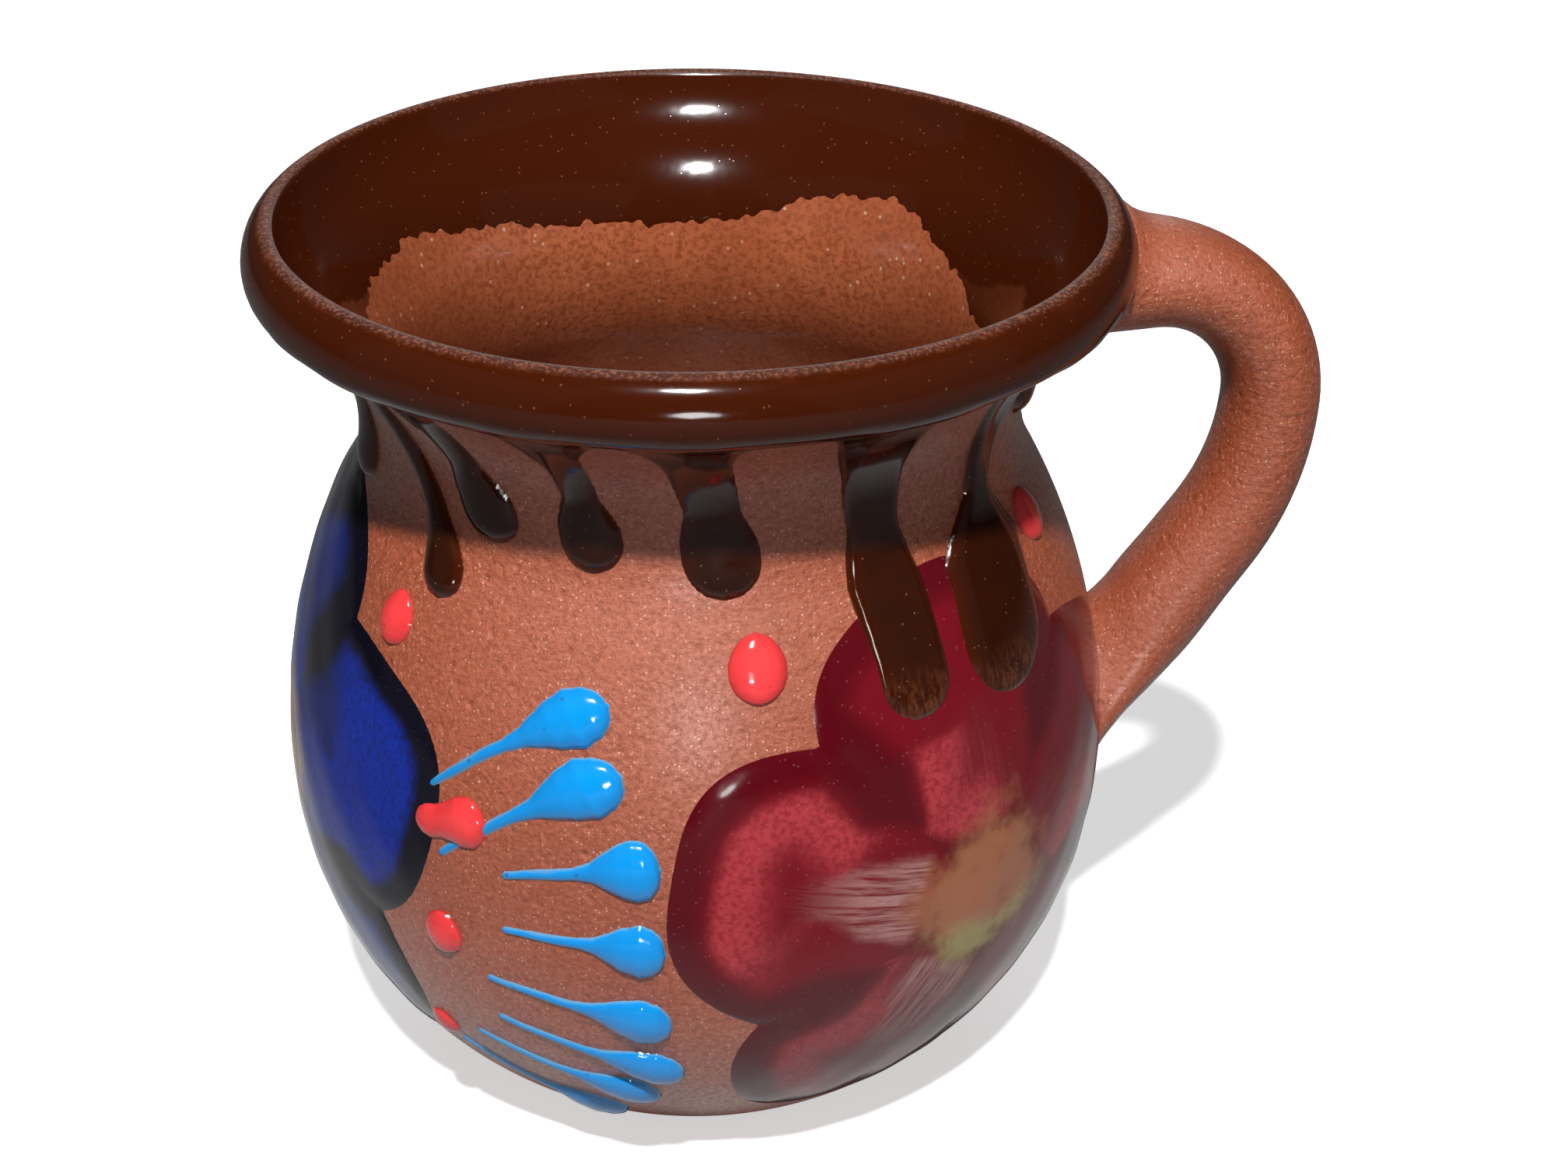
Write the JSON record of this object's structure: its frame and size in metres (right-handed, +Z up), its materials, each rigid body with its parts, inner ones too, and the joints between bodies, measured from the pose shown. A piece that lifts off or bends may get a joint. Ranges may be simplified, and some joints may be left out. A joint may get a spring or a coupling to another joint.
{
  "type": "clay mug",
  "caption": "Round-bellied terracotta mug with a flared rolled lip, a looped handle, a brown dipped rim that has run down the neck, and raised flowers, teardrops and dots in coloured glaze.",
  "frame": {"origin": "middle of the flat foot, on the plane the mug stands on", "axes": "+Z up along the axis of the thrown body, +X towards the handle, -Y towards the painted front"},
  "size_m": [0.1145, 0.0938, 0.1],
  "materials": {
    "clay": "matt, sandy, fine mica glints",
    "brown_glaze": "glossy, thick, lightly specked",
    "clear_glaze": "glossy clear film over clay",
    "red_petal": "glossy, brushed and specked",
    "blue_petal": "glossy, brushed and specked",
    "flower_eye": "glossy, brushed",
    "sky_blue_glaze": "glossy, trailed",
    "red_dot_glaze": "glossy, trailed"
  },
  "bodies": {
    "root": {"blue_flower_eye": "flower_eye", "blue_flower_petals": "blue_petal", "bowl_glaze": "clear_glaze", "clay_body": "clay", "glaze_drip_1": "brown_glaze", "glaze_drip_10": "brown_glaze", "glaze_drip_11": "brown_glaze", "glaze_drip_12": "brown_glaze", "glaze_drip_13": "brown_glaze", "glaze_drip_14": "brown_glaze", "glaze_drip_15": "brown_glaze", "glaze_drip_2": "brown_glaze", "glaze_drip_3": "brown_glaze", "glaze_drip_4": "brown_glaze", "glaze_drip_5": "brown_glaze", "glaze_drip_6": "brown_glaze", "glaze_drip_7": "brown_glaze", "glaze_drip_8": "brown_glaze", "glaze_drip_9": "brown_glaze", "handle": "clay", "rear_flower_eye": "flower_eye", "rear_flower_petals": "red_petal", "red_dot_back_1": "red_dot_glaze", "red_dot_back_2": "red_dot_glaze", "red_dot_back_3": "red_dot_glaze", "red_dot_back_4": "red_dot_glaze", "red_dot_back_5": "red_dot_glaze", "red_dot_back_6": "red_dot_glaze", "red_dot_front_1": "red_dot_glaze", "red_dot_front_2": "red_dot_glaze", "red_dot_front_3": "red_dot_glaze", "red_dot_front_4": "red_dot_glaze", "red_dot_front_5": "red_dot_glaze", "red_dot_front_6": "red_dot_glaze", "red_flower_eye": "flower_eye", "red_flower_petals": "red_petal", "rim_glaze": "brown_glaze", "teardrop_back_1": "sky_blue_glaze", "teardrop_back_2": "sky_blue_glaze", "teardrop_back_3": "sky_blue_glaze", "teardrop_back_4": "sky_blue_glaze", "teardrop_back_5": "sky_blue_glaze", "teardrop_back_6": "sky_blue_glaze", "teardrop_back_7": "sky_blue_glaze", "teardrop_back_8": "sky_blue_glaze", "teardrop_front_1": "sky_blue_glaze", "teardrop_front_2": "sky_blue_glaze", "teardrop_front_3": "sky_blue_glaze", "teardrop_front_4": "sky_blue_glaze", "teardrop_front_5": "sky_blue_glaze", "teardrop_front_6": "sky_blue_glaze", "teardrop_front_7": "sky_blue_glaze", "teardrop_front_8": "sky_blue_glaze"}
  },
  "joints": []
}
